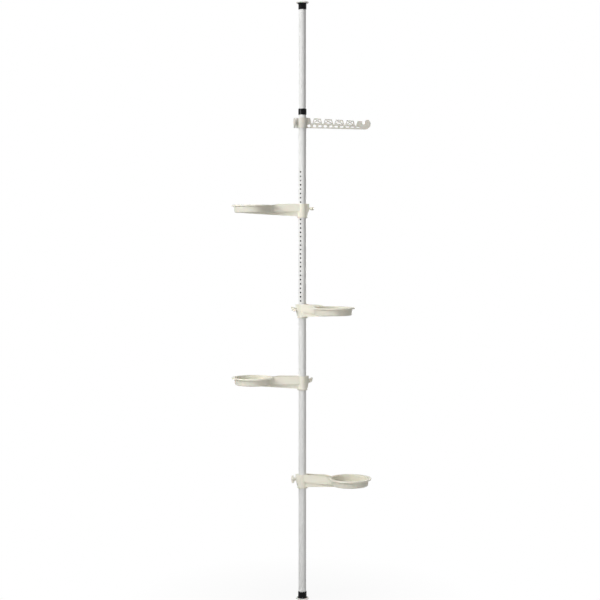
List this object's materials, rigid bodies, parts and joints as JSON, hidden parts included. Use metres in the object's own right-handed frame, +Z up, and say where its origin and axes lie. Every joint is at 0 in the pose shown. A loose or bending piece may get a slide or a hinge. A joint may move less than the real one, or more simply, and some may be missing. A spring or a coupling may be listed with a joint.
{
  "type": "telescopic plant rack",
  "caption": "Floor-to-ceiling telescopic tension pole with clamped swivelling plant trays and a lattice hanger arm.",
  "frame": {"origin": "on the pole axis at the floor, in the floor pad's lower face", "axes": "+Z up along the pole, -Y to the front, +X to the right seen from the front"},
  "size_m": [0.7001, 0.4131, 3],
  "materials": {
    "tube_white": "satin powder coat",
    "ivory": "satin moulded",
    "liner": "satin moulded",
    "black": "satin moulded",
    "pad": "soft matt",
    "inner": "moulded",
    "steel": "zinc plated",
    "spring_steel": "drawn wire"
  },
  "bodies": {
    "pole": {"floor_pad": "pad", "bottom_cap": "black", "lower_tube": "tube_white", "tube_joint": "inner", "middle_tube": "tube_white", "guide_collar": "black"},
    "carriage": {"spring_carriage": "inner", "tension_spring": "spring_steel"},
    "button": {"snap_button": "steel"},
    "upper_pole": {"upper_tube": "tube_white", "upper_tube_plug": "inner", "top_cap": "black", "ceiling_pad": "pad"},
    "sleeve_1": {"grip_sleeve_1": "liner"},
    "tray_set_1": {"tray_1": "ivory", "tray_bracket_1": "ivory", "bracket_screws_1": "steel", "clamp_ring_1": "ivory", "nut_insert_1": "steel"},
    "shoe_1": {"pressure_shoe_1": "inner"},
    "knob_1": {"lock_knob_1": "ivory", "lock_screw_1": "steel"},
    "sleeve_2": {"grip_sleeve_2": "liner"},
    "tray_set_2": {"tray_2": "ivory", "tray_bracket_2": "ivory", "bracket_screws_2": "steel", "clamp_ring_2": "ivory", "nut_insert_2": "steel"},
    "shoe_2": {"pressure_shoe_2": "inner"},
    "knob_2": {"lock_knob_2": "ivory", "lock_screw_2": "steel"},
    "sleeve_3": {"grip_sleeve_3": "liner"},
    "tray_set_3": {"tray_3": "ivory", "tray_bracket_3": "ivory", "bracket_screws_3": "steel", "clamp_ring_3": "ivory", "nut_insert_3": "steel"},
    "shoe_3": {"pressure_shoe_3": "inner"},
    "knob_3": {"lock_knob_3": "ivory", "lock_screw_3": "steel"},
    "sleeve_4": {"grip_sleeve_4": "liner"},
    "tray_set_4": {"tray_4": "ivory", "tray_bracket_4": "ivory", "bracket_screws_4": "steel", "clamp_ring_4": "ivory", "nut_insert_4": "steel"},
    "shoe_4": {"pressure_shoe_4": "inner"},
    "knob_4": {"lock_knob_4": "ivory", "lock_screw_4": "steel"},
    "arm_liner": {"arm_sleeve": "liner"},
    "arm_set": {"hanger_arm": "ivory", "arm_nut": "steel"},
    "arm_pad": {"arm_shoe": "inner"},
    "arm_grip": {"arm_knob": "ivory", "arm_screw": "steel"}
  },
  "joints": [
    {"name": "height_setting", "type": "slide", "parent": "pole", "child": "carriage", "axis": [0, 0, 1], "range_m": [-0.38682, 0]},
    {"name": "button_press", "type": "slide", "parent": "carriage", "child": "button", "axis": [0.5, 0.866, 0], "range_m": [0, 0.0015], "stiffness_N_per_m": 1200, "springref_m": -0.002},
    {"name": "spring_travel", "type": "slide", "parent": "carriage", "child": "upper_pole", "axis": [0, 0, 1], "range_m": [-0.05, 0], "stiffness_N_per_m": 2000, "springref_m": 0.03, "deforming": ["tension_spring"]},
    {"name": "tray_1_height", "type": "slide", "parent": "pole", "child": "sleeve_1", "axis": [0, 0, 1], "range_m": [-0.21, 0.18]},
    {"name": "tray_1_swivel", "type": "hinge", "parent": "sleeve_1", "child": "tray_set_1", "pos_m": [0, 0, 1.9764], "axis": [0, 0, 1], "continuous": true},
    {"name": "tray_1_screw", "type": "slide", "parent": "tray_set_1", "child": "shoe_1", "axis": [-1, 0, 0], "range_m": [-0.0025, 0]},
    {"name": "tray_1_knob", "type": "hinge", "parent": "shoe_1", "child": "knob_1", "pos_m": [0.04, 0, 1.9764], "axis": [-1, 0, 0], "range_deg": [-720.5, 0]},
    {"name": "tray_2_height", "type": "slide", "parent": "pole", "child": "sleeve_2", "axis": [0, 0, 1], "range_m": [-0.14, 0.21]},
    {"name": "tray_2_swivel", "type": "hinge", "parent": "sleeve_2", "child": "tray_set_2", "pos_m": [0, 0, 1.4743], "axis": [0, 0, 1], "continuous": true},
    {"name": "tray_2_screw", "type": "slide", "parent": "tray_set_2", "child": "shoe_2", "axis": [0.9272, 0.3746, 0], "range_m": [-0.0025, 0]},
    {"name": "tray_2_knob", "type": "hinge", "parent": "shoe_2", "child": "knob_2", "pos_m": [-0.03709, -0.01498, 1.4743], "axis": [0.9272, 0.3746, 0], "range_deg": [-720.5, 0]},
    {"name": "tray_3_height", "type": "slide", "parent": "pole", "child": "sleeve_3", "axis": [0, 0, 1], "range_m": [-0.21, 0.14]},
    {"name": "tray_3_swivel", "type": "hinge", "parent": "sleeve_3", "child": "tray_set_3", "pos_m": [0, 0, 1.1113], "axis": [0, 0, 1], "continuous": true},
    {"name": "tray_3_screw", "type": "slide", "parent": "tray_set_3", "child": "shoe_3", "axis": [-0.8192, -0.5736, 0], "range_m": [-0.0025, 0]},
    {"name": "tray_3_knob", "type": "hinge", "parent": "shoe_3", "child": "knob_3", "pos_m": [0.03277, 0.02294, 1.1113], "axis": [-0.8192, -0.5736, 0], "range_deg": [-720.5, 0]},
    {"name": "tray_4_height", "type": "slide", "parent": "pole", "child": "sleeve_4", "axis": [0, 0, 1], "range_m": [-0.5, 0.2]},
    {"name": "tray_4_swivel", "type": "hinge", "parent": "sleeve_4", "child": "tray_set_4", "pos_m": [0, 0, 0.6136], "axis": [0, 0, 1], "continuous": true},
    {"name": "tray_4_screw", "type": "slide", "parent": "tray_set_4", "child": "shoe_4", "axis": [0.9703, 0.2419, 0], "range_m": [-0.0025, 0]},
    {"name": "tray_4_knob", "type": "hinge", "parent": "shoe_4", "child": "knob_4", "pos_m": [-0.03881, -0.00968, 0.6136], "axis": [0.9703, 0.2419, 0], "range_deg": [-720.5, 0]},
    {"name": "arm_height", "type": "slide", "parent": "pole", "child": "arm_liner", "axis": [0, 0, 1], "range_m": [-0.18, 0.008]},
    {"name": "arm_swivel", "type": "hinge", "parent": "arm_liner", "child": "arm_set", "pos_m": [0, 0, 2.4028], "axis": [0, 0, 1], "continuous": true},
    {"name": "arm_screw", "type": "slide", "parent": "arm_set", "child": "arm_pad", "axis": [0.9962, 0.0872, 0], "range_m": [-0.00187, 0]},
    {"name": "arm_knob", "type": "hinge", "parent": "arm_pad", "child": "arm_grip", "pos_m": [-0.03985, -0.00349, 2.4028], "axis": [0.9962, 0.0872, 0], "range_deg": [-540.5, 0]}
  ],
  "couplings": [
    {"joint": "tray_1_knob", "follows": "tray_1_screw", "rad_per_m": 5026.5},
    {"joint": "tray_2_knob", "follows": "tray_2_screw", "rad_per_m": 5026.5},
    {"joint": "tray_3_knob", "follows": "tray_3_screw", "rad_per_m": 5026.5},
    {"joint": "tray_4_knob", "follows": "tray_4_screw", "rad_per_m": 5026.5},
    {"joint": "arm_knob", "follows": "arm_screw", "rad_per_m": 5026.5}
  ]
}
